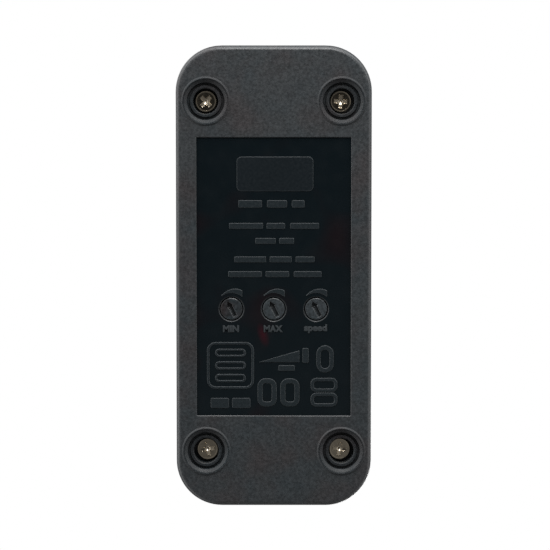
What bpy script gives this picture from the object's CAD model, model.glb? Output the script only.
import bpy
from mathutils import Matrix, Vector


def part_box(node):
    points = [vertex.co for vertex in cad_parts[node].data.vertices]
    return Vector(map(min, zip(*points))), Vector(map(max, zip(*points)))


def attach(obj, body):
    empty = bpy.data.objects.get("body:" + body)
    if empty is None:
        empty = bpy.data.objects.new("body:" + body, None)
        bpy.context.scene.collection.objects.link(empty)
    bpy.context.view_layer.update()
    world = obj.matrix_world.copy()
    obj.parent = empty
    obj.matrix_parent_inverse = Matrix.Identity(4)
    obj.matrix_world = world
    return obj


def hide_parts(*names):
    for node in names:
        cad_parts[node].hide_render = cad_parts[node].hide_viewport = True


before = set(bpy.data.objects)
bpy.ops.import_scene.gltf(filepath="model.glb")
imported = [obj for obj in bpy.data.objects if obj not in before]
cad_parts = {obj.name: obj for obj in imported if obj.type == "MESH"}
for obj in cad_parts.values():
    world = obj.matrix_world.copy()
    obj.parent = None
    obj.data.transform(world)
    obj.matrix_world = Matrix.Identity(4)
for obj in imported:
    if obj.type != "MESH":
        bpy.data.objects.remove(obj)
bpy.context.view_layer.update()        # bodies, nodes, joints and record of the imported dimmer

import math

import bmesh
import bpy
import numpy as np
from mathutils import Vector

bl_info = {
    "name": "Rotary cord dimmer",
    "version": (1, 0, 0),
    "blender": (4, 5, 0),
    "location": "3D view > Sidebar > Dimmer",
    "description": "Finishes a rotary cord dimmer around its frame: shells, screws, knob, dials, relief",
    "category": "Object",
}

# All lengths below are metres. The panel faces -Z. Seen from below with +Y up, +X is on the left.
MM = 0.001
TURN = 2 * math.pi
MARK_ROOT = 0.05 * MM    # how far the panel's marks reach into its face


def linear(code):
    """An sRGB hex colour as linear red, green, blue."""
    values = [int(code[i:i + 2], 16) / 255 for i in (1, 3, 5)]
    return tuple(v / 12.92 if v <= 0.04045 else ((v + 0.055) / 1.055) ** 2.4 for v in values)


def length(name, description, millimetres):
    """A size property whose default is given in millimetres."""
    return bpy.props.FloatProperty(name=name, description=description, default=millimetres * MM,
                                   unit="LENGTH", precision=5)


def colour(name, description, code):
    """A colour property whose default is given as an sRGB hex value."""
    return bpy.props.FloatVectorProperty(name=name, description=description, default=linear(code),
                                         subtype="COLOR", min=0.0, max=1.0)


class DimmerSizes(bpy.types.PropertyGroup):
    """Sizes of what is laid on the frame."""

    panel_height: length("Panel height", "Height of the glossy panel's face above the rims' plane", 0.60)
    panel_half_width: length("Panel half width", "From the middle to the panel's side", 15.05)
    panel_half_length: length("Panel half length", "From the middle to the panel's end", 27.22)
    case_edge: length("Case edge", "Width of the small rounding on the case's moulded edges", 0.07)
    dial_edge: length("Dial edge", "Width of the small rounding on the trimmer dials", 0.09)
    mark_height: length("Mark height", "How far the marks stand out of the panel", 0.11)
    mark_edge: length("Mark edge", "Width of the slope round each mark", 0.1)
    head_ridge: length("Head ridge", "Height of the low ridge round a case screw's face", 0.012)
    recess_reach: length("Recess reach", "How far the cross recess reaches from the screw's axis", 1.3)
    recess_end: length("Recess end", "Depth of the cross recess at the ends of its arms", 0.1)
    recess_width: length("Recess width", "Width of one arm of the cross recess", 0.74)
    thread_pitch: length("Thread pitch", "From one thread to the next on the case screws", 1.0)
    thread_height: length("Thread height", "How far the thread stands out of the screw's core", 0.28)
    rib_depth: length("Rib depth", "Depth of the grooves between the knob's ribs", 0.42)


class DimmerColours(bpy.types.PropertyGroup):
    """Base colours of the finishes."""

    case: colour("Case", "Spark-eroded case plastic", "#212426")
    case_cool: colour("Case, cool zones", "Cooler zones in the case plastic", "#1D2326")
    case_warm: colour("Case, warm zones", "Warmer zones in the case plastic", "#242122")
    panel: colour("Panel", "Polished panel of the case", "#0A1013")
    panel_red: colour("Panel, red zones", "Dark red zones deep in the polished panel", "#160A0C")
    streak: colour("Panel, streak", "Short dark red streak under the middle dial", "#2A0C12")
    mark: colour("Marks", "Raised marks on the panel", "#161C1F")
    mark_edge: colour("Mark edges", "Slopes round the raised marks", "#1B2124")
    dial: colour("Dials", "Trimmer dials", "#22272A")
    dial_dark: colour("Dark dial", "The worn and glossier first dial", "#1D1A1B")
    knob: colour("Knob", "Knob plastic", "#222628")
    nickel: colour("Nickel", "Warm nickel plate of the screws", "#BEB3A0")


class DimmerStage(bpy.types.PropertyGroup):
    """The camera under the dimmer, and the light round it."""

    distance: length("Distance", "From the rims' plane down to the camera", 480.0)
    ahead: length("Ahead", "How far the camera stands towards +Y", 37.0)
    aside: length("Aside", "How far the camera stands towards -X", 0.24)
    aim: length("Aim", "How far towards +Y the camera looks, on the rims' plane", 0.44)
    picture_width: length("Picture width", "What the picture takes in at the camera's aim", 106.96)
    below_key: bpy.props.FloatProperty(name="Key from below", description="Power of the lamp that lights the "
                                       "underside", default=0.6, unit="POWER")
    above_key: bpy.props.FloatProperty(name="Key from above", description="Power of the lamp that lights the "
                                       "knob's side", default=3.0, unit="POWER")


def corners(node):
    """Lowest and highest corner of a CAD node, as arrays."""
    low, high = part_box(node)
    return np.array(low), np.array(high)


def middle(node):
    """The middle of a CAD node's box."""
    low, high = corners(node)
    return (low + high) / 2


def read_rows(items, key):
    """A three-part value of each of a mesh's items, one row each."""
    values = np.empty(len(items) * 3)
    items.foreach_get(key, values)
    return values.reshape(-1, 3)


def node_points(node):
    """The corner points of a CAD node's mesh, one row each."""
    return read_rows(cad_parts[node].data.vertices, "co")


def smooth(low, high, values):
    """Rises smoothly from 0 at low to 1 at high: the cubic 3t^2 - 2t^3 of the share t between them."""
    t = np.clip((values - low) / (high - low), 0.0, 1.0)
    return t * t * (3 - 2 * t)


def put(mesh, name, body, materials):
    """Links a finished mesh as a piece that rides on a body."""
    piece = bpy.data.objects.new(name, mesh)
    bpy.context.scene.collection.objects.link(piece)
    for material in materials:
        mesh.materials.append(material)
    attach(piece, body)
    return piece


def tidy(mesh, sharp_degrees=35.0, outwards=True):
    """Merges doubled points, turns the faces outwards and smooths all but the sharp edges."""
    work = bmesh.new()
    work.from_mesh(mesh)
    bmesh.ops.remove_doubles(work, verts=work.verts, dist=1e-7)
    bmesh.ops.dissolve_degenerate(work, edges=work.edges, dist=1e-8)
    if outwards:
        bmesh.ops.recalc_face_normals(work, faces=work.faces)
    work.to_mesh(mesh)
    work.free()
    mesh.shade_smooth()
    mesh.set_sharp_from_angle(angle=math.radians(sharp_degrees))
    return mesh


def quads(index):
    """The four-cornered faces between neighbours in rows by columns of point numbers. The last column joins
    the first."""
    index = np.hstack([index, index[:, :1]])
    return np.stack([index[:-1, :-1], index[:-1, 1:], index[1:, 1:], index[1:, :-1]], -1).reshape(-1, 4)


def grid_mesh(name, grids):
    """A mesh of one or more grids of points, rows by columns by 3, each closed from its last column to its
    first."""
    points = []
    faces = []
    start = 0
    for grid in grids:
        rows, columns = grid.shape[:2]
        faces.append(quads(start + np.arange(rows * columns).reshape(rows, columns)))
        points.append(grid.reshape(-1, 3))
        start += rows * columns
    mesh = bpy.data.meshes.new(name)
    mesh.from_pydata(np.vstack(points).tolist(), [], np.vstack(faces).tolist())
    return mesh


def merged_copy(node, name):
    """A copy of a CAD node's mesh with its loose triangles joined and its flat faces made whole."""
    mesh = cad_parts[node].data
    count = len(mesh.loops)
    loops = np.empty(count, np.int32)
    mesh.loops.foreach_get("vertex_index", loops)
    points, place = np.unique(np.round(node_points(node), 7), axis=0, return_inverse=True)
    triangles = place.reshape(-1)[loops].reshape(-1, 3)
    whole = (triangles != np.roll(triangles, 1, axis=1)).all(axis=1)
    copy = bpy.data.meshes.new(name)
    copy.from_pydata(points.tolist(), [], triangles[whole].tolist())
    work = bmesh.new()
    work.from_mesh(copy)
    bmesh.ops.dissolve_limit(work, angle_limit=math.radians(0.4), verts=work.verts, edges=work.edges)
    work.to_mesh(copy)
    work.free()
    copy.shade_smooth()
    copy.set_sharp_from_angle(angle=math.radians(35.0))
    return copy


def weigh_edges(mesh, share):
    """Stores on each edge sharper than 32 degrees how much of the full rounding it gets. share gives that
    from the edge's middle."""
    work = bmesh.new()
    work.from_mesh(mesh)
    weight = work.edges.layers.float.new("bevel_weight_edge")
    for edge in work.edges:
        if edge.calc_face_angle(0.0) > math.radians(32.0):
            edge[weight] = share((edge.verts[0].co + edge.verts[1].co) / 2)
    work.to_mesh(mesh)
    work.free()


def rounded(piece, width, segments=2, share=lambda place: 1.0):
    """Gives a merged copy small rounded edges and even shading."""
    weigh_edges(piece.data, share)
    bevel = piece.modifiers.new("edges", "BEVEL")
    bevel.width = width
    bevel.segments = segments
    bevel.limit_method = "WEIGHT"
    bevel.use_clamp_overlap = False
    bevel.miter_outer = "MITER_ARC"
    even = piece.modifiers.new("shading", "WEIGHTED_NORMAL")
    even.keep_sharp = True
    return piece


def add(tree, kind, settings=None, links=None):
    """Adds one shader node, sets its properties and its sockets' values, and links its inputs."""
    node = tree.nodes.new("ShaderNode" + kind)
    for key, value in (settings or {}).items():
        if isinstance(key, int) or key in node.inputs:
            node.inputs[key].default_value = value
        else:
            setattr(node, key, value)
    for key, source in (links or {}).items():
        tree.links.new(source, node.inputs[key])
    return node


def started(name):
    """A new material with an empty tree, and the object's own coordinates in it."""
    material = bpy.data.materials.new(name)
    material.use_nodes = True
    tree = material.node_tree
    tree.nodes.clear()
    place = add(tree, "TexCoord").outputs["Object"]
    return material, tree, place


def ended(material, tree, shader):
    """Joins the shader to the material's output."""
    add(tree, "OutputMaterial", links={"Surface": shader.outputs[0]})
    return material


def rgba(value):
    """A linear colour with full alpha."""
    return (value[0], value[1], value[2], 1.0)


def grained_plastic(tree, base, grain, tones, roughness, relief, ior):
    """A plastic with the grain of its tool. The grain shades the base colour between two tones, varies the
    roughness by 0.06 either way, and stands relief millimetres high."""
    light = add(tree, "MapRange", {"From Min": 0.3, "From Max": 0.7, "To Min": tones[0], "To Max": tones[1]},
                {"Value": grain.outputs["Fac"]})
    shade = add(tree, "MixRGB", {"blend_type": "MULTIPLY", "Fac": 1.0},
                {"Color1": base.outputs["Color"], "Color2": light.outputs["Result"]})
    rough = add(tree, "MapRange", {"From Min": 0.3, "From Max": 0.7, "To Min": roughness - 0.06,
                                   "To Max": roughness + 0.06}, {"Value": grain.outputs["Fac"]})
    bump = add(tree, "Bump", {"Strength": 1.0, "Distance": relief * MM}, {"Height": grain.outputs["Fac"]})
    return add(tree, "BsdfPrincipled", {"IOR": ior},
               {"Base Color": shade.outputs["Color"], "Roughness": rough.outputs["Result"],
                "Normal": bump.outputs["Normal"]})


def moulded(name, base, other, grain_mm, roughness, relief, zone_mm=9.0, ior=1.53, contrast=0.22):
    """A moulded plastic with the grain of its spark-eroded tool, and slow zones of another tint.
    grain_mm is the grain's width, and relief the height of its bumps in millimetres."""
    material, tree, place = started(name)
    grain = add(tree, "TexNoise", {"Scale": 1 / (grain_mm * MM), "Detail": 3.0, "Roughness": 0.6},
                {"Vector": place})
    zone = add(tree, "TexNoise", {"Scale": 1 / (zone_mm * MM), "Detail": 2.0, "Roughness": 0.45},
               {"Vector": place})
    tint = add(tree, "MapRange", {"From Min": 0.36, "From Max": 0.64}, {"Value": zone.outputs["Fac"]})
    mixed = add(tree, "MixRGB", {"Color1": rgba(base), "Color2": rgba(other)},
                {"Fac": tint.outputs["Result"]})
    tones = (1 - contrast, 1 + contrast)
    return ended(material, tree, grained_plastic(tree, mixed, grain, tones, roughness, relief, ior))


def case_abs(name, colours, roughness=0.4, tone=1.0, ior=1.53):
    """Black-grey ABS from a spark-eroded tool: an even satin grain of about 0.45 mm, drifting from cool to
    warm. tone makes the whole lighter or darker."""
    material, tree, place = started(name)
    grain = add(tree, "TexNoise", {"Scale": 1 / (0.46 * MM), "Detail": 2.0, "Roughness": 0.6},
                {"Vector": place})
    shifted = add(tree, "Mapping", {"Location": (0.31, 0.17, 0.05)}, {"Vector": place})
    shares = []
    for zone_mm, where in ((7.0, place), (8.0, shifted.outputs["Vector"])):
        zone = add(tree, "TexNoise", {"Scale": 1 / (zone_mm * MM), "Detail": 3.0, "Roughness": 0.5},
                   {"Vector": where})
        share = add(tree, "MapRange", {"From Min": 0.45, "From Max": 0.68, "To Max": 0.85},
                    {"Value": zone.outputs["Fac"]})
        shares.append(share.outputs["Result"])
    cooled = add(tree, "MixRGB", {"Color1": rgba(colours.case), "Color2": rgba(colours.case_cool)},
                 {"Fac": shares[0]})
    warmed = add(tree, "MixRGB", {"Color2": rgba(colours.case_warm)},
                 {"Fac": shares[1], "Color1": cooled.outputs["Color"]})
    tones = (0.7 * tone, 1.3 * tone)
    return ended(material, tree, grained_plastic(tree, warmed, grain, tones, roughness, 0.025, ior))


def panel_abs(colours):
    """The same ABS against a polished tool face: near black and glossy, with faint dark red zones and one
    short streak where the melt met below the middle dial."""
    material, tree, place = started("polished_abs")
    zone = add(tree, "TexNoise", {"Scale": 1 / (14.0 * MM), "Detail": 1.0}, {"Vector": place})
    share = add(tree, "MapRange", {"From Min": 0.55, "From Max": 0.85}, {"Value": zone.outputs["Fac"]})
    tint = add(tree, "MixRGB", {"Color1": rgba(colours.panel), "Color2": rgba(colours.panel_red)},
               {"Fac": share.outputs["Result"]})
    # the streak is an ellipse 2.2 by 5.2 mm, turned 18 degrees, that fades from its middle
    leant = add(tree, "Mapping", {"vector_type": "TEXTURE", "Location": (2.1 * MM, -11.3 * MM, 0.6 * MM),
                                  "Rotation": (0, 0, math.radians(-18)), "Scale": (1.1 * MM, 2.6 * MM, 1.0)},
                {"Vector": place})
    ball = add(tree, "TexGradient", {"gradient_type": "SPHERICAL"}, {"Vector": leant.outputs["Vector"]})
    faint = add(tree, "Math", {"operation": "MULTIPLY", 1: 0.8}, {0: ball.outputs["Fac"]})
    stained = add(tree, "MixRGB", {"Color2": rgba(colours.streak)},
                  {"Fac": faint.outputs[0], "Color1": tint.outputs["Color"]})
    smear = add(tree, "TexNoise", {"Scale": 1 / (3.0 * MM), "Detail": 3.0}, {"Vector": place})
    rough = add(tree, "MapRange", {"From Min": 0.35, "From Max": 0.65, "To Min": 0.08, "To Max": 0.16},
                {"Value": smear.outputs["Fac"]})
    shader = add(tree, "BsdfPrincipled", {"IOR": 1.53},
                 {"Base Color": stained.outputs["Color"], "Roughness": rough.outputs["Result"]})
    return ended(material, tree, shader)


def relief_abs(colours):
    """The two finishes of the marks that stand out of the polished panel: satin tops, and slopes that look a
    little lighter because they are rough from the engraving cutter."""
    top = moulded("satin_relief", colours.mark, colours.mark, 0.5, 0.26, 0.0005, 4.0, contrast=0.05)
    edge = moulded("cut_relief_edge", colours.mark_edge, colours.mark_edge, 0.5, 0.6, 0.0005, 4.0, 1.42, 0.05)
    return top, edge


def bare_metal(tree, base, pattern, reach, roughness, spread, relief):
    """A metal whose pattern, over its own reach of values, varies the roughness by spread either way and
    stands relief millimetres high."""
    rough = add(tree, "MapRange", {"From Min": reach[0], "From Max": reach[1], "To Min": roughness - spread,
                                   "To Max": roughness + spread}, {"Value": pattern.outputs["Fac"]})
    bump = add(tree, "Bump", {"Strength": 1.0, "Distance": relief * MM}, {"Height": pattern.outputs["Fac"]})
    return add(tree, "BsdfPrincipled", {"Metallic": 1.0, "Base Color": rgba(base)},
               {"Roughness": rough.outputs["Result"], "Normal": bump.outputs["Normal"]})


def plated(name, base, roughness, scratch_mm=0.15, relief=0.002):
    """Nickel plate over steel: even and warm, with fine random scratches and a little tarnish."""
    material, tree, place = started(name)
    tarnish = add(tree, "TexNoise", {"Scale": 1 / (0.6 * MM), "Detail": 3.0}, {"Vector": place})
    scratch = add(tree, "TexNoise", {"Scale": 1 / (scratch_mm * MM), "Detail": 4.0, "Distortion": 1.5},
                  {"Vector": place})
    tone = add(tree, "MapRange", {"From Min": 0.3, "From Max": 0.7, "To Min": 0.8, "To Max": 1.05},
               {"Value": tarnish.outputs["Fac"]})
    shade = add(tree, "MixRGB", {"blend_type": "MULTIPLY", "Fac": 1.0, "Color1": rgba(base)},
                {"Color2": tone.outputs["Result"]})
    shader = bare_metal(tree, base, scratch, (0.3, 0.7), roughness, 0.04, relief)
    tree.links.new(shade.outputs["Color"], shader.inputs["Base Color"])
    return ended(material, tree, shader)


def turned_metal(name, base, roughness, ring_mm, relief=0.003):
    """Turned bar: fine tool rings one above the other along the axis."""
    material, tree, place = started(name)
    ring = add(tree, "TexWave", {"wave_type": "BANDS", "bands_direction": "Z",
                                 "Scale": 1 / (TURN * ring_mm * MM), "Distortion": 0.4}, {"Vector": place})
    return ended(material, tree, bare_metal(tree, base, ring, (0.0, 1.0), roughness, 0.05, relief))


def rolled_metal(name, base, roughness, streak=(0.05, 1.5, 1.5)):
    """Rolled sheet: long faint streaks along the way it was rolled. streak is their width and lengths in
    millimetres."""
    material, tree, place = started(name)
    scale = tuple(1 / (s * MM) for s in streak)
    drawn = add(tree, "Mapping", {"Scale": scale}, {"Vector": place})
    line = add(tree, "TexNoise", {"Scale": 1.0, "Detail": 3.0}, {"Vector": drawn.outputs["Vector"]})
    return ended(material, tree, bare_metal(tree, base, line, (0.3, 0.7), roughness, 0.08, 0.002))


def solder_mask():
    """Green solder mask over glass cloth and copper: a fine weave, and broad tracks that show lighter
    through it."""
    material, tree, place = started("solder_mask_laminate")
    weave = add(tree, "TexWave", {"bands_direction": "X", "Scale": 1 / (TURN * 0.09 * MM)}, {"Vector": place})
    weft = add(tree, "TexWave", {"bands_direction": "Y", "Scale": 1 / (TURN * 0.09 * MM)}, {"Vector": place})
    cloth = add(tree, "Math", {"operation": "ADD"}, {0: weave.outputs["Fac"], 1: weft.outputs["Fac"]})
    track = add(tree, "TexVoronoi", {"Scale": 1 / (4.5 * MM), "feature": "DISTANCE_TO_EDGE",
                                     "distance": "EUCLIDEAN", "Randomness": 0.6}, {"Vector": place})
    copper = add(tree, "MapRange", {"From Min": 0.05, "From Max": 0.07}, {"Value": track.outputs["Distance"]})
    tint = add(tree, "MixRGB", {"Color1": rgba(linear("#0B3A20")), "Color2": rgba(linear("#1C6B35"))},
               {"Fac": copper.outputs["Result"]})
    relief = add(tree, "Math", {"operation": "MULTIPLY_ADD", 1: 0.1},
                 {0: cloth.outputs[0], 2: copper.outputs[0]})
    bump = add(tree, "Bump", {"Strength": 1.0, "Distance": 0.03 * MM}, {"Height": relief.outputs[0]})
    shader = add(tree, "BsdfPrincipled", {"IOR": 1.5, "Roughness": 0.28},
                 {"Base Color": tint.outputs["Color"], "Normal": bump.outputs["Normal"]})
    return ended(material, tree, shader)


def dress(nodes, material):
    """Gives CAD nodes a material in their own slots."""
    for name in nodes:
        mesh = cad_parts[name].data
        mesh.materials.clear()
        mesh.materials.append(material)


def sizes():
    """The sizes that a user can change."""
    return bpy.context.scene.dimmer_sizes


def colours():
    """The colours that a user can change."""
    return bpy.context.scene.dimmer_colours


class DIMMER_OT_case(bpy.types.Operator):
    """Makes the bottom cover and the top shell with rounded edges, and the cover's polished panel"""

    bl_idname = "dimmer.case"
    bl_label = "Case shells"

    # in millimetres: half a case screw's head, from the outer edge of the set to a pocket's middle; how far
    # from that middle the edges are rounded less and the plastic is coarser; and how high both go
    head_radius = 2.06
    gentle_reach = 5.2
    coarse_reach = 5.1
    pocket_top = 4.0
    # the share of the full rounding that the pockets' fine steps get
    gentle_share = 0.16

    def execute(self, context):
        s = sizes()
        grained = case_abs("spark_eroded_abs", colours())
        coarse = case_abs("coarse_spark_eroded_abs", colours(), 0.44, 0.9, 1.3)
        polished = panel_abs(colours())
        mouth = moulded("hole_mouth_abs", colours().panel, colours().panel, 0.5, 0.36, 0.001, ior=1.4)
        pocket = [float(value) for value in corners("case_screws")[1][:2] - self.head_radius * MM]

        def share(place):
            """The fine steps of the screw pockets get a sixth of the rounding."""
            away = math.hypot(abs(place.x) - pocket[0], abs(place.y) - pocket[1])
            near = away < self.gentle_reach * MM and place.z < self.pocket_top * MM
            return self.gentle_share if near else 1.0

        for node in ("bottom_cover", "top_shell"):
            copy = merged_copy(node, node + "_moulding")
            piece = put(copy, node + "_moulding", "root", [grained, polished, mouth, coarse])
            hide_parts(node)
            self.finish(copy, pocket, s)
            rounded(piece, s.case_edge, share=share)
        return {"FINISHED"}

    def finish(self, mesh, pocket, s):
        """The flat faces inside the panel's outline at the panel's height are polished. The small slopes that
        lead from them into the trimmer holes are satin, and the screw pockets are coarser than the case."""
        x, y, z = read_rows(mesh.polygons, "center").T
        down = read_rows(mesh.polygons, "normal")[:, 2]
        inside = (abs(x) < s.panel_half_width) & (abs(y) < s.panel_half_length)
        flat = (down < -0.99) & (abs(z - s.panel_height) < 0.02 * MM)
        slope = (down < -0.3) & (z > s.panel_height) & (z < s.panel_height + 0.3 * MM)
        away = np.hypot(abs(x) - pocket[0], abs(y) - pocket[1])
        sunk = (away < self.coarse_reach * MM) & (z < self.pocket_top * MM)
        kind = inside * (flat + 2 * (slope & ~flat)) + 3 * sunk
        mesh.polygons.foreach_set("material_index", kind.astype(np.int32))


def screw_grid(x, y, shift, lean, turn, low, high, head, shank, seat, s):
    """One case screw as a surface of ring and angle. The rings run from the middle of the head's flat face
    over a low ridge near its edge and a quarter round, up the head's side, in to the shank and along it to a
    point. The face leans a little towards x and y. In it, two crossed arms are sunk to end + tan(9.5)
    (reach - r), and within 0.7 mm of the axis by 0.43 (0.7 - r)^1.96 more. On the shank the radius adds a
    thread: a triangle wave of z / pitch - angle / turn. The head stands off its hole's middle by shift, which
    fades out along the shank's first millimetre."""
    angles = np.linspace(0, TURN, 120, endpoint=False)
    share = np.concatenate([np.linspace(0, 0.85, 38), np.linspace(0.85, 0.9, 7)[1:],
                            0.96 + 0.04 * np.sin(np.linspace(0, math.pi / 2, 8))])
    height = seat - low
    ridge = s.head_ridge * (1 - smooth(0.86, 0.89, share))
    drop = 0.2 * height * (1 - np.sqrt(np.clip(1 - (np.clip(share - 0.96, 0, 1) / 0.04) ** 2, 0, 1)))
    face_r = head * share[:, None] * np.ones_like(angles)
    face_z = (low + ridge + drop)[:, None] * np.ones_like(angles)
    face_z = face_z + face_r * (math.tan(lean[0]) * np.cos(angles) + math.tan(lean[1]) * np.sin(angles))
    u = face_r * np.cos(angles - turn)
    v = face_r * np.sin(angles - turn)
    slant = math.tan(math.radians(9.5))
    depth = s.recess_end + slant * (s.recess_reach - face_r)
    depth = depth + 0.43 * MM * np.clip(0.7 - face_r / MM, 0, 0.6) ** 1.96
    arms = np.zeros_like(face_r)
    for along, across in ((u, v), (v, u)):
        wall = smooth(0, 0.06 * MM, s.recess_width / 2 - abs(across))
        end = smooth(0, 0.06 * MM, s.recess_reach - abs(along))
        arms = np.maximum(arms, wall * end)
    face_z = face_z + np.clip(depth, 0, 1) * arms
    side_z = np.linspace(low + 0.25 * height, seat, 5)[:, None] * np.ones_like(angles)
    side_r = np.full_like(side_z, head)
    core = shank - s.thread_height
    rows = np.linspace(seat, high, 64)[:, None]
    phase = (rows / s.thread_pitch - (angles - turn) / TURN) % 1.0
    crest = np.clip(1 - abs(2 * phase - 1) * 2.2, 0, 1)
    fade = smooth(seat, seat + s.thread_pitch, rows) * np.clip((high - rows) / (2.0 * MM), 0, 1)
    taper = np.clip((high - rows) / (1.6 * MM), 0, 1) ** 0.7
    shank_r = core * taper + s.thread_height * crest * fade
    shank_z = rows * np.ones_like(angles)
    radius = np.vstack([face_r, side_r, shank_r])
    z = np.vstack([face_z, side_z, shank_z])
    off = 1 - smooth(seat, seat + 1.0 * MM, z)
    return np.stack([x + shift[0] * off + radius * np.cos(angles),
                     y + shift[1] * off + radius * np.sin(angles), z], -1)


class DIMMER_OT_case_screws(bpy.types.Operator):
    """Makes the four sunk case screws with cross recesses and threads"""

    bl_idname = "dimmer.case_screws"
    bl_label = "Case screws"

    # for the screw at each corner, towards +X or -X and +Y or -Y: the recess's turn, the head's shift in mm,
    # and how its face leans towards X and Y in degrees
    turns_degrees = {(1, 1): 45.0, (-1, 1): 4.0, (1, -1): -8.0, (-1, -1): 7.0}
    shifts = {(1, 1): (0.0, -0.06), (-1, 1): (0.2, -0.06), (1, -1): (-0.24, 0.12), (-1, -1): (0.3, 0.15)}
    leans_degrees = {(1, 1): (0.3, 0.0), (-1, 1): (-0.4, 0.0), (1, -1): (4.5, 1.5), (-1, -1): (-5.5, 1.5)}

    def execute(self, context):
        points = node_points("case_screws")
        grids = []
        for (sx, sy), turn in self.turns_degrees.items():
            own = points[(points[:, 0] * sx > 0) & (points[:, 1] * sy > 0)]
            low = own.min(axis=0)
            high = own.max(axis=0)
            x, y = (low[:2] + high[:2]) / 2
            head = (high[0] - low[0]) / 2
            reach = np.hypot(own[:, 0] - x, own[:, 1] - y)
            seat = own[reach > 0.98 * head, 2].max()
            upper = reach[own[:, 2] > seat + 1 * MM]
            shift = np.array(self.shifts[sx, sy]) * MM
            lean = [math.radians(value) for value in self.leans_degrees[sx, sy]]
            grids.append(screw_grid(x, y, shift, lean, math.radians(turn), low[2], high[2], head, upper.max(),
                                    seat, sizes()))
        mesh = tidy(grid_mesh("case_screw_set", grids), 24.0)
        nickel = plated("warm_nickel_plate", colours().nickel, 0.14, 0.3, 0.001)
        piece = put(mesh, "case_screw_set", "root", [nickel])
        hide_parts("case_screws")
        dress(["board_screws", "input_grip_screws", "output_grip_screws", "input_terminal_screws",
               "output_terminal_screws"], nickel)
        return {"FINISHED"}


class DIMMER_OT_dials(bpy.types.Operator):
    """Makes the three trimmer dials with softly rounded slots, and finishes the trimmers behind them"""

    bl_idname = "dimmer.dials"
    bl_label = "Trimmer dials"

    def execute(self, context):
        c = colours()
        matt = moulded("moulded_acetal", c.dial, c.case_cool, 0.4, 0.42, 0.012, 3.0, 1.48, 0.6)
        worn = moulded("worn_acetal", c.dial_dark, c.case_cool, 0.6, 0.3, 0.02, 2.4, 1.48, 0.4)
        for name, material in (("min", worn), ("max", matt), ("speed", matt)):
            node = name + "_trimmer_spindle"
            dial = name + "_dial"    # the piece has its body's name
            piece = put(merged_copy(node, dial), dial, dial, [material])
            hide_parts(node)
            rounded(piece, sizes().dial_edge)
        blue = moulded("blue_polyamide", linear("#1E4C9A"), linear("#173C7E"), 0.15, 0.42, 0.006, 2.5)
        dress([name + "_trimmer_body" for name in ("min", "max", "speed")], blue)
        return {"FINISHED"}


def knob_profile(low, high, radius, s):
    """The knob's section as radius, height and three shares for each ring: how much of the rib groove, of the
    finger mark and of the D-shaped bore it takes. The section runs from the middle of the dished top, over
    the land and a quarter round, down the drawn-in side, in along the rim, up the inside wall, and round the
    hub into the bore."""
    top_radius = radius - 0.5 * MM
    dish = 10.6 * MM
    sink = 0.4 * MM
    edge = 1.0 * MM
    wall = radius - 1.9 * MM
    ceiling = high - sink - 2.0 * MM
    hub = 4.4 * MM
    hub_low = low + 0.6 * MM
    bore = 3.02 * MM
    bore_top = high - 1.8 * MM
    arc = np.linspace(0, math.pi / 2, 7)
    rise = sink * smooth(0, 1, np.linspace(0, 1, 5)[1:])
    parts = [
        (np.linspace(0, 0.93 * dish, 70), np.full(70, high - sink), 0, 1, 0),
        (np.linspace(0.93 * dish, dish, 5)[1:], high - sink + rise, 0, 0, 0),
        (np.linspace(dish, top_radius - edge, 4)[1:], np.full(3, high), 0, 0, 0),
        (top_radius - edge + edge * np.sin(arc[1:]), high - edge + edge * np.cos(arc[1:]), 0, 0, 0),
        (np.linspace(top_radius, radius, 22)[1:], np.linspace(high - edge, low, 22)[1:], 1, 0, 0),
        (np.linspace(radius, wall, 4)[1:], np.full(3, low), 0, 0, 0),
        (np.full(3, wall), np.linspace(low, ceiling, 4)[1:], 0, 0, 0),
        (np.linspace(wall, hub, 4)[1:], np.full(3, ceiling), 0, 0, 0),
        (np.full(3, hub), np.linspace(ceiling, hub_low, 4)[1:], 0, 0, 0),
        (np.linspace(hub, bore, 3)[1:], np.full(2, hub_low), 0, 0, 1),
        (np.full(3, bore), np.linspace(hub_low, bore_top, 4)[1:], 0, 0, 1),
        (np.linspace(bore, 0, 3)[1:], np.full(2, bore_top), 0, 0, 0),
    ]
    rings = [np.concatenate([part[i] for part in parts]) for i in (0, 1)]
    shares = [np.concatenate([np.full(len(part[0]), float(part[i])) for part in parts]) for i in (2, 3, 4)]
    return rings + shares


def knob_grid(low, high, radius, s):
    """The knob as a surface of ring and angle. Its radius is the section's, less a rounded groove that comes
    round 36 times, |cos(18 angle)|^5 deep, and fades out near the top. The bore's radius is the lesser of
    the round and the distance to its flat, d / sin(angle). The finger mark is sunk where x and y lie inside
    it."""
    flat_reach = 1.52 * MM
    mark_depth = 0.4 * MM
    angles = np.linspace(0, TURN, 576, endpoint=False)
    r, z, rib, mark, bore = (values[:, None] for values in knob_profile(low, high, radius, s))
    fade = smooth(high - 1.4 * MM, high - 2.1 * MM, z)
    groove = np.abs(np.cos(18 * (angles - TURN / 72))) ** 5
    grown = r - s.rib_depth * groove * rib * fade
    flat = flat_reach / np.maximum(np.sin(angles), 1e-6)
    flat = np.where(np.sin(angles) > 0, flat, 1.0)
    grown = np.where(bore > 0, np.minimum(grown, flat), grown)
    x = grown * np.cos(angles)
    y = grown * np.sin(angles)
    across = smooth(0.55 * MM, 0.42 * MM, abs(x))
    along = smooth(5.0 * MM, 5.15 * MM, y) * smooth(9.6 * MM, 9.45 * MM, y)
    depth = z * np.ones_like(angles) - mark_depth * mark * across * along
    return np.stack([x, y, depth], -1)


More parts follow.
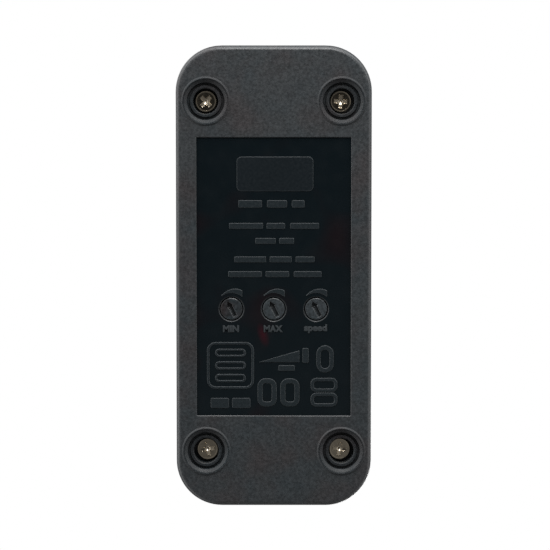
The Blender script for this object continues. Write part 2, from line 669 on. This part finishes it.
class DIMMER_OT_knob(bpy.types.Operator):
    """Makes the ribbed push-on knob, and finishes its shaft"""

    bl_idname = "dimmer.knob"
    bl_label = "Knob"

    def execute(self, context):
        low, high = corners("knob")
        mesh = tidy(grid_mesh("ribbed_knob", [knob_grid(low[2], high[2], high[0], sizes())]), 40.0)
        c = colours()
        satin = moulded("satin_abs", c.knob, c.case_cool, 0.22, 0.46, 0.01, 6.0)
        piece = put(mesh, "ribbed_knob", "knob", [satin])
        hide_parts("knob")
        dress(["encoder_shaft"], turned_metal("turned_aluminium", linear("#D9DADB"), 0.25, 0.12))
        return {"FINISHED"}


def drawn_in(outline, inset):
    """A closed outline moved inwards by inset: each corner goes along the halfway line of its two sides."""
    ahead = np.roll(outline, -1, axis=0) - outline
    ahead /= np.linalg.norm(ahead, axis=1)[:, None]
    behind = np.roll(ahead, 1, axis=0)
    inwards = np.stack([-(ahead + behind)[:, 1], (ahead + behind)[:, 0]], -1)
    inwards /= np.linalg.norm(inwards, axis=1)[:, None]
    share = np.maximum((inwards * np.stack([-ahead[:, 1], ahead[:, 0]], -1)).sum(axis=1), 0.4)
    return outline + inwards * (inset / share)[:, None]


def on_panel(flat, height, s):
    """Points u to the right and v up, as seen from below, put on the panel at a height out of its face."""
    high = np.full(len(flat), s.panel_height - height)
    return np.stack([-flat[:, 0], flat[:, 1], high], -1)


def plate_mesh(name, outlines, s):
    """Raised plates on the panel. Each outline, anticlockwise as seen from below, is carried from just under
    the panel's face to the mark's height less its edge, drawn in by the edge at full height, and closed. The
    slopes take the second material."""
    points = []
    faces = []
    tones = []
    for outline in outlines:
        count = len(outline)
        rings = [
            on_panel(outline, -MARK_ROOT, s),
            on_panel(outline, s.mark_height - s.mark_edge, s),
            on_panel(drawn_in(outline, 0.3 * s.mark_edge), s.mark_height - 0.3 * s.mark_edge, s),
            on_panel(drawn_in(outline, s.mark_edge), s.mark_height, s),
        ]
        start = sum(len(p) for p in points)
        index = start + np.arange(4 * count).reshape(4, count)
        faces += quads(index).tolist()
        faces.append(index[3].tolist())
        faces.append(index[0, ::-1].tolist())
        tones += [1] * (3 * count) + [0, 0]
        points += rings
    mesh = bpy.data.meshes.new(name)
    mesh.from_pydata(np.vstack(points).tolist(), [], faces)
    mesh.polygons.foreach_set("material_index", tones)
    return tidy(mesh, 20.0)


def line_mesh(name, paths, s):
    """Raised closed lines on the panel: a low section with sloped edges is carried along each path. The
    section's points lie across the line at plus and minus half its width. The slopes take the second
    material."""
    edge = s.mark_edge
    grids = []
    for path, width in paths:
        half = width / 2
        section = [(-half, -MARK_ROOT), (-half + 0.1 * edge, s.mark_height - edge),
                   (-half + edge, s.mark_height), (half - edge, s.mark_height),
                   (half - 0.1 * edge, s.mark_height - edge), (half, -MARK_ROOT)]
        lines = [on_panel(drawn_in(path, across), height, s) for across, height in section]
        lines.append(lines[0])
        grids.append(np.stack(lines))
    mesh = grid_mesh(name, grids)
    tones = np.concatenate([np.repeat([1, 1, 0, 1, 1, 0], len(path)) for path, width in paths])
    mesh.polygons.foreach_set("material_index", tones.astype(np.int32))
    return tidy(mesh, 20.0)


def rounded_box(u, v, width, height, radius, steps=6):
    """A rectangle's outline with quarter rounds, anticlockwise, about the point u, v."""
    quarter = np.linspace(0, math.pi / 2, steps)
    sides = []
    for i, (su, sv) in enumerate(((1, 1), (-1, 1), (-1, -1), (1, -1))):
        angle = quarter + i * math.pi / 2
        centre_u = u + su * (width / 2 - radius)
        centre_v = v + sv * (height / 2 - radius)
        sides.append(np.stack([centre_u + radius * np.cos(angle), centre_v + radius * np.sin(angle)], -1))
    return np.vstack(sides)


def growing_arc(u, v):
    """The wedge over a dial: its inner side is an arc of 3.13 mm, its outer side an arc that grows from 3.35
    to 4.18 mm clockwise, and its thick end is cut off upright. Angles are from 12 o'clock."""
    inner = 3.13 * MM
    start = math.radians(-37)
    end_outer = math.radians(31)
    end_inner = math.radians(42)
    back = np.linspace(start, end_outer, 18)
    grown = (3.35 + 0.83 * smooth(0, 1, (back - start) / (end_outer - start)) ** 0.8) * MM
    outside = np.stack([u + grown * np.sin(back), v + grown * np.cos(back)], -1)
    there = np.linspace(end_inner, start, 18)
    inside = np.stack([u + inner * np.sin(there), v + inner * np.cos(there)], -1)
    return np.vstack([outside, inside])[::-1]


class DIMMER_OT_dial_legends(bpy.types.Operator):
    """Makes the growing arcs over the dials and the plain words that say what each dial sets"""

    bl_idname = "dimmer.dial_legends"
    bl_label = "Dial legends"

    # each word, the dial that it stands under, and its width and height in millimetres
    words = (("MIN", "min", 3.15, 1.36), ("MAX", "max", 3.71, 1.36), ("speed", "speed", 4.5, 1.75))
    # from a dial's middle up to its word's, in millimetres
    drop = -3.86

    def execute(self, context):
        s = sizes()
        satin, edge = relief_abs(colours())
        arcs = []
        texts = []
        for word, dial, width, height in self.words:
            x, y = middle(dial + "_trimmer_spindle")[:2]
            arcs.append(growing_arc(-x, y))
            texts.append(self.word_mesh(word, -x - 0.1 * MM, y + self.drop * MM, width * MM, height * MM, s))
        put(plate_mesh("dial_arcs", arcs, s), "dial_arcs", "root", [satin, edge])
        for (word, dial, width, height), mesh in zip(self.words, texts):
            put(mesh, dial + "_legend", "root", [edge])
        return {"FINISHED"}

    def word_mesh(self, word, u, v, width, height, s):
        """A word as a raised mesh, fitted to a width and height about the point u, v on the panel."""
        curve = bpy.data.curves.new(word, "FONT")
        curve.body = word
        curve.resolution_u = 3
        curve.offset = 0.045
        curve.extrude = 0.05
        curve.bevel_depth = 0.01
        curve.bevel_resolution = 1
        writing = bpy.data.objects.new(word, curve)
        bpy.context.scene.collection.objects.link(writing)
        bpy.context.view_layer.update()
        mesh = bpy.data.meshes.new_from_object(writing.evaluated_get(bpy.context.evaluated_depsgraph_get()))
        bpy.data.objects.remove(writing)
        bpy.data.curves.remove(curve)
        points = read_rows(mesh.vertices, "co")
        low = points.min(axis=0)
        share = (points - low) / (points.max(axis=0) - low) - 0.5
        flat = share[:, :2] * np.array([width, height]) + np.array([u, v])
        stand = (share[:, 2] + 0.5) * (s.mark_height + MARK_ROOT) - MARK_ROOT
        placed = np.stack([-flat[:, 0], flat[:, 1], s.panel_height - stand], -1)
        mesh.vertices.foreach_set("co", placed.ravel())
        return tidy(mesh, 40.0, outwards=False)


class DIMMER_OT_panel_marks(bpy.types.Operator):
    """Makes the panel's plain relief: bars, a ramp and simple outlines"""

    bl_idname = "dimmer.panel_marks"
    bl_label = "Panel relief"

    # places as seen from below, in millimetres to the right and up from the middle: u, v, width and height
    bars = (
        ((-4.6, 14.24, 4.6, 1.45), (0.65, 14.24, 3.9, 1.45), (4.75, 14.24, 2.5, 1.45)),
        ((-5.4, 9.96, 6.6, 1.15), (0.4, 9.96, 3.6, 1.15), (6.0, 9.96, 5.6, 1.15)),
        ((-1.6, 7.04, 4.0, 1.15), (2.5, 7.04, 2.9, 1.15)),
        ((-4.6, 3.43, 6.2, 1.15), (1.35, 3.43, 4.3, 1.15), (6.1, 3.43, 3.7, 1.15)),
        ((-5.6, 0.55, 6.6, 1.15), (0.7, 0.55, 4.6, 1.15), (6.6, 0.55, 5.4, 1.15)),
        ((-10.55, -24.7, 3.6, 2.0), (-6.35, -24.7, 3.6, 2.0)),
        ((6.2, -15.36, 1.2, 2.9),),
        ((2.5, -17.82, 3.2, 1.1),),
    )
    name_field = (0.24, 20.07, 14.9, 6.7)
    # the u and v of the ramp's three corners
    ramp = ((-2.95, -16.68), (5.0, -16.68), (5.0, -14.35))
    # open outlines: u, v, width and height along the line's middle, corner radius and the line's width
    outlines = ((-8.45, -17.33, 8.7, 8.7, 1.4, 0.5), (10.01, -16.05, 2.55, 4.5, 1.26, 0.85),
                (-1.3, -22.64, 2.75, 4.55, 1.0, 1.0), (3.15, -22.64, 2.75, 4.55, 1.0, 1.0),
                (9.82, -21.15, 4.6, 2.1, 0.8, 0.68), (9.82, -24.05, 4.6, 2.1, 0.8, 0.68),
                (-8.45, -19.8, 5.6, 1.2, 0.55, 0.42), (-8.45, -17.33, 5.6, 1.2, 0.55, 0.42),
                (-8.45, -14.86, 5.6, 1.2, 0.55, 0.42))

    def execute(self, context):
        s = sizes()
        satin, edge = relief_abs(colours())
        blank = moulded("polished_relief", linear("#12171A"), linear("#101518"), 0.5, 0.2, 0.0005, 12.0,
                        contrast=0.05)
        plates = [rounded_box(u * MM, v * MM, w * MM, h * MM, 0.16 * min(w, h) * MM)
                  for row in self.bars for u, v, w, h in row]
        field = [rounded_box(*(value * MM for value in self.name_field), 0.9 * MM)]
        plates.append(np.array(self.ramp) * MM)
        lines = [(rounded_box(u * MM, v * MM, w * MM, h * MM, r * MM), line * MM)
                 for u, v, w, h, r, line in self.outlines]
        put(plate_mesh("panel_plates", plates, s), "panel_plates", "root", [satin, edge])
        put(line_mesh("panel_lines", lines, s), "panel_lines", "root", [satin, edge])
        put(plate_mesh("name_field", field, s), "name_field", "root", [blank, edge])
        return {"FINISHED"}


class DIMMER_OT_insides(bpy.types.Operator):
    """Finishes the pieces inside the case: board, encoder, terminals, grips and components"""

    bl_idname = "dimmer.insides"
    bl_label = "Inside pieces"

    # moulded, pressed and dipped pieces: nodes, finish, its two colours, the grain's width in millimetres,
    # the roughness, and the grain's height in millimetres
    moulded_pieces = (
        (("encoder_base",), "black_polyamide", "#222426", "#1A1C1E", 0.12, 0.5, 0.005),
        (("encoder_rotor",), "rotor_acetal", "#24262A", "#1B1D20", 0.1, 0.4, 0.004),
        (("input_terminal_block", "output_terminal_block"),
         "green_polyamide", "#2F7A4C", "#27693F", 0.12, 0.42, 0.006),
        (("input_cord_grip", "output_cord_grip"),
         "glass_filled_polyamide", "#2A2A2C", "#353538", 0.5, 0.55, 0.01),
        (("film_capacitor",), "capacitor_case", "#C9A63A", "#B8942E", 0.1, 0.3, 0.002),
        (("choke_core",), "sintered_ferrite", "#3C3D40", "#2C2D30", 0.12, 0.6, 0.02),
        (("fuse_drum",), "fuse_polyamide", "#3A3330", "#2C2624", 0.1, 0.35, 0.002),
        (("varistor",), "dipped_epoxy", "#1F4E93", "#183F7A", 1.2, 0.25, 0.03),
        (("bridge_rectifier", "control_chip", "power_transistors"),
         "moulded_epoxy", "#2B2B2D", "#232325", 0.08, 0.6, 0.006),
    )

    def execute(self, context):
        for nodes, finish, base, other, grain_mm, roughness, relief in self.moulded_pieces:
            dress(nodes, moulded(finish, linear(base), linear(other), grain_mm, roughness, relief))
        dress(["circuit_board"], solder_mask())
        dress(["encoder_frame", "input_terminal_cages", "output_terminal_cages"],
              rolled_metal("tinned_steel", linear("#C6C5BE"), 0.3))
        dress(["encoder_bushing"], turned_metal("turned_brass", linear("#D8B56A"), 0.25, 0.15))
        dress(["choke_winding"], plated("enamelled_copper", linear("#B4622E"), 0.22, 0.4))
        dress(["can_capacitor"], rolled_metal("drawn_aluminium", linear("#D5D6D8"), 0.28, (1.5, 0.05, 0.05)))
        dress(["heat_spreader"], rolled_metal("rolled_aluminium", linear("#CFD0D2"), 0.34))
        return {"FINISHED"}


def lamp(name, place, target, size, power):
    """A soft square lamp that looks from place at target."""
    light = bpy.data.lights.new(name, "AREA")
    light.size = size
    light.energy = power
    holder = bpy.data.objects.new(name, light)
    holder.location = place
    holder.rotation_euler = (Vector(target) - Vector(place)).to_track_quat("-Z", "Y").to_euler()
    bpy.context.scene.collection.objects.link(holder)


class DIMMER_OT_stage(bpy.types.Operator):
    """Makes the floor, the lamps, the white surroundings and the camera under the dimmer"""

    bl_idname = "dimmer.stage"
    bl_label = "Stage"

    def execute(self, context):
        stage = context.scene.dimmer_stage
        self.floor()
        self.surroundings(context.scene)
        middle_height = 10 * MM
        lamp("key_below", (-0.03, 0.22, -0.2), (0, 0, 0), 0.12, stage.below_key)
        lamp("key_above", (-0.3, -0.35, 0.55), (0, 0, middle_height), 0.35, stage.above_key)
        lamp("fill_above", (0.45, 0.3, 0.4), (0, 0, middle_height), 0.5, 0.4 * stage.above_key)
        self.camera(context.scene, stage)
        context.scene.view_settings.view_transform = "Standard"
        return {"FINISHED"}

    def floor(self):
        """A pale floor, seen from above only. It stands half a millimetre up the case's rounded lower edge,
        where it hides part of the light from below on that edge, and it runs out into the white
        surroundings."""
        half = 3.0
        level = 0.55 * MM
        mesh = bpy.data.meshes.new("floor")
        ends = ((-half, -half), (half, -half), (half, half), (-half, half))
        mesh.from_pydata([(x, y, level) for x, y in ends], [], [(0, 1, 2, 3)])
        floor = bpy.data.objects.new("floor", mesh)
        bpy.context.scene.collection.objects.link(floor)
        material, tree, place = started("pale_floor")
        speck = add(tree, "TexNoise", {"Scale": 400.0, "Detail": 2.0}, {"Vector": place})
        rough = add(tree, "MapRange", {"To Min": 0.6, "To Max": 0.8}, {"Value": speck.outputs["Fac"]})
        shader = add(tree, "BsdfPrincipled", {"Base Color": rgba(linear("#EDEDEB"))},
                     {"Roughness": rough.outputs["Result"]})
        away = add(tree, "VectorMath", {"operation": "LENGTH"}, {0: place})
        share = add(tree, "MapRange", {"From Min": 0.12, "From Max": 0.9}, {"Value": away.outputs["Value"]})
        white = add(tree, "Emission", {"Color": (1, 1, 1, 1), "Strength": 1.0})
        paled = add(tree, "MixShader",
                    links={0: share.outputs["Result"], 1: shader.outputs[0], 2: white.outputs[0]})
        side = add(tree, "NewGeometry").outputs["Backfacing"]
        clear = add(tree, "BsdfTransparent")
        one_sided = add(tree, "MixShader", links={0: side, 1: paled.outputs[0], 2: clear.outputs[0]})
        mesh.materials.append(ended(material, tree, one_sided))
        floor.visible_shadow = False
        floor.visible_diffuse = False
        floor.visible_glossy = False

    def surroundings(self, scene):
        """White to the camera. As light it is dark straight below, so that the polished panel stays black,
        grey a little way off that, bright in a band below the horizon, and nearly dark above."""
        world = bpy.data.worlds.new("studio")
        scene.world = world
        world.use_nodes = True
        tree = world.node_tree
        tree.nodes.clear()
        direction = add(tree, "TexCoord").outputs["Generated"]
        parts = add(tree, "SeparateXYZ", links={"Vector": direction})
        # straight below it is dark, as where the camera stands, and a little way off that it is grey
        core = add(tree, "VectorMath", {"operation": "DOT_PRODUCT", 1: (0.0, 0.02, -1.0)}, {0: direction})
        grey = add(tree, "MapRange", {"From Min": 0.9985, "From Max": 0.95, "To Min": 0.012, "To Max": 0.33},
                   {"Value": core.outputs["Value"]})
        shaded = add(tree, "MapRange", {"From Min": -0.3, "From Max": 0.1, "To Min": 0.5},
                     {"Value": parts.outputs["Y"]})
        near = add(tree, "Math", {"operation": "MULTIPLY"},
                   {0: grey.outputs["Result"], 1: shaded.outputs["Result"]})
        # it is bright in a band below the horizon: most on the +Y side, and not on the -Y side
        below, rise, fall = (
            add(tree, "MapRange", {"interpolation_type": "SMOOTHSTEP", "From Min": start, "From Max": end,
                                   "To Min": low, "To Max": high}, {"Value": parts.outputs["Z"]})
            for start, end, low, high in ((-0.98, -0.45, 0.0, 0.1), (-0.75, -0.3, 0.0, 1.15),
                                          (0.25, -0.2, 0.02, 1.0)))
        level = add(tree, "Math", {"operation": "MULTIPLY_ADD"},
                    {0: rise.outputs["Result"], 1: fall.outputs["Result"], 2: below.outputs["Result"]})
        wide = add(tree, "Math", {"operation": "ABSOLUTE"}, {0: parts.outputs["X"]})
        either = add(tree, "Math", {"operation": "MULTIPLY", 1: 1.75}, {0: wide.outputs[0]})
        across = add(tree, "Math", {"operation": "MULTIPLY_ADD", 1: 0.45},
                     {0: parts.outputs["X"], 2: either.outputs[0]})
        ahead = add(tree, "MapRange", {"To Max": 3.5}, {"Value": parts.outputs["Y"]})
        weight = add(tree, "Math", {"operation": "ADD"}, {0: across.outputs[0], 1: ahead.outputs["Result"]})
        power = add(tree, "Math", {"operation": "MULTIPLY_ADD"},
                    {0: level.outputs[0], 1: weight.outputs[0], 2: near.outputs[0]})
        lit = add(tree, "Background", {"Color": (1, 1, 1, 1)}, {"Strength": power.outputs[0]})
        seen = add(tree, "Background", {"Color": (1, 1, 1, 1), "Strength": 1.0})
        ray = add(tree, "LightPath")
        both = add(tree, "MixShader",
                   links={0: ray.outputs["Is Camera Ray"], 1: lit.outputs[0], 2: seen.outputs[0]})
        add(tree, "OutputWorld", links={"Surface": both.outputs[0]})

    def camera(self, scene, stage):
        """Under the dimmer and a little towards +Y, looking up, with +Y at the top of the picture."""
        rise = stage.ahead - stage.aim
        reach = math.hypot(stage.distance, rise)
        data = bpy.data.cameras.new("below")
        data.sensor_width = 36.0
        data.lens = data.sensor_width * reach / stage.picture_width
        data.clip_start = 0.01
        data.clip_end = 10.0
        camera = bpy.data.objects.new("below", data)
        camera.location = (-stage.aside, stage.ahead, -stage.distance)
        camera.rotation_euler = (-math.atan2(rise, stage.distance), math.pi, 0.0)
        scene.collection.objects.link(camera)
        scene.camera = camera


class DIMMER_PT_panel(bpy.types.Panel):
    """Lists the dimmer's sizes and colours, and the steps that make it"""

    bl_label = "Rotary cord dimmer"
    bl_idname = "DIMMER_PT_panel"
    bl_space_type = "VIEW_3D"
    bl_region_type = "UI"
    bl_category = "Dimmer"

    def draw(self, context):
        layout = self.layout
        for step in steps:
            layout.operator(step.bl_idname)
        for group in (context.scene.dimmer_sizes, context.scene.dimmer_colours, context.scene.dimmer_stage):
            column = layout.column()
            for name in group.__annotations__:
                column.prop(group, name)


groups = (("dimmer_sizes", DimmerSizes), ("dimmer_colours", DimmerColours), ("dimmer_stage", DimmerStage))
steps = (DIMMER_OT_case, DIMMER_OT_case_screws, DIMMER_OT_dials, DIMMER_OT_knob, DIMMER_OT_dial_legends,
         DIMMER_OT_panel_marks, DIMMER_OT_insides, DIMMER_OT_stage)


def register():
    for name, group in groups:
        bpy.utils.register_class(group)
        setattr(bpy.types.Scene, name, bpy.props.PointerProperty(type=group))
    for entry in steps + (DIMMER_PT_panel,):
        bpy.utils.register_class(entry)


def unregister():
    for entry in (DIMMER_PT_panel,) + steps[::-1]:
        bpy.utils.unregister_class(entry)
    for name, group in groups[::-1]:
        delattr(bpy.types.Scene, name)
        bpy.utils.unregister_class(group)


def main():
    register()
    bpy.ops.dimmer.case()
    bpy.ops.dimmer.case_screws()
    bpy.ops.dimmer.dials()
    bpy.ops.dimmer.knob()
    bpy.ops.dimmer.dial_legends()
    bpy.ops.dimmer.panel_marks()
    bpy.ops.dimmer.insides()
    bpy.ops.dimmer.stage()
    bpy.context.view_layer.update()


if __name__ == "__main__":
    main()
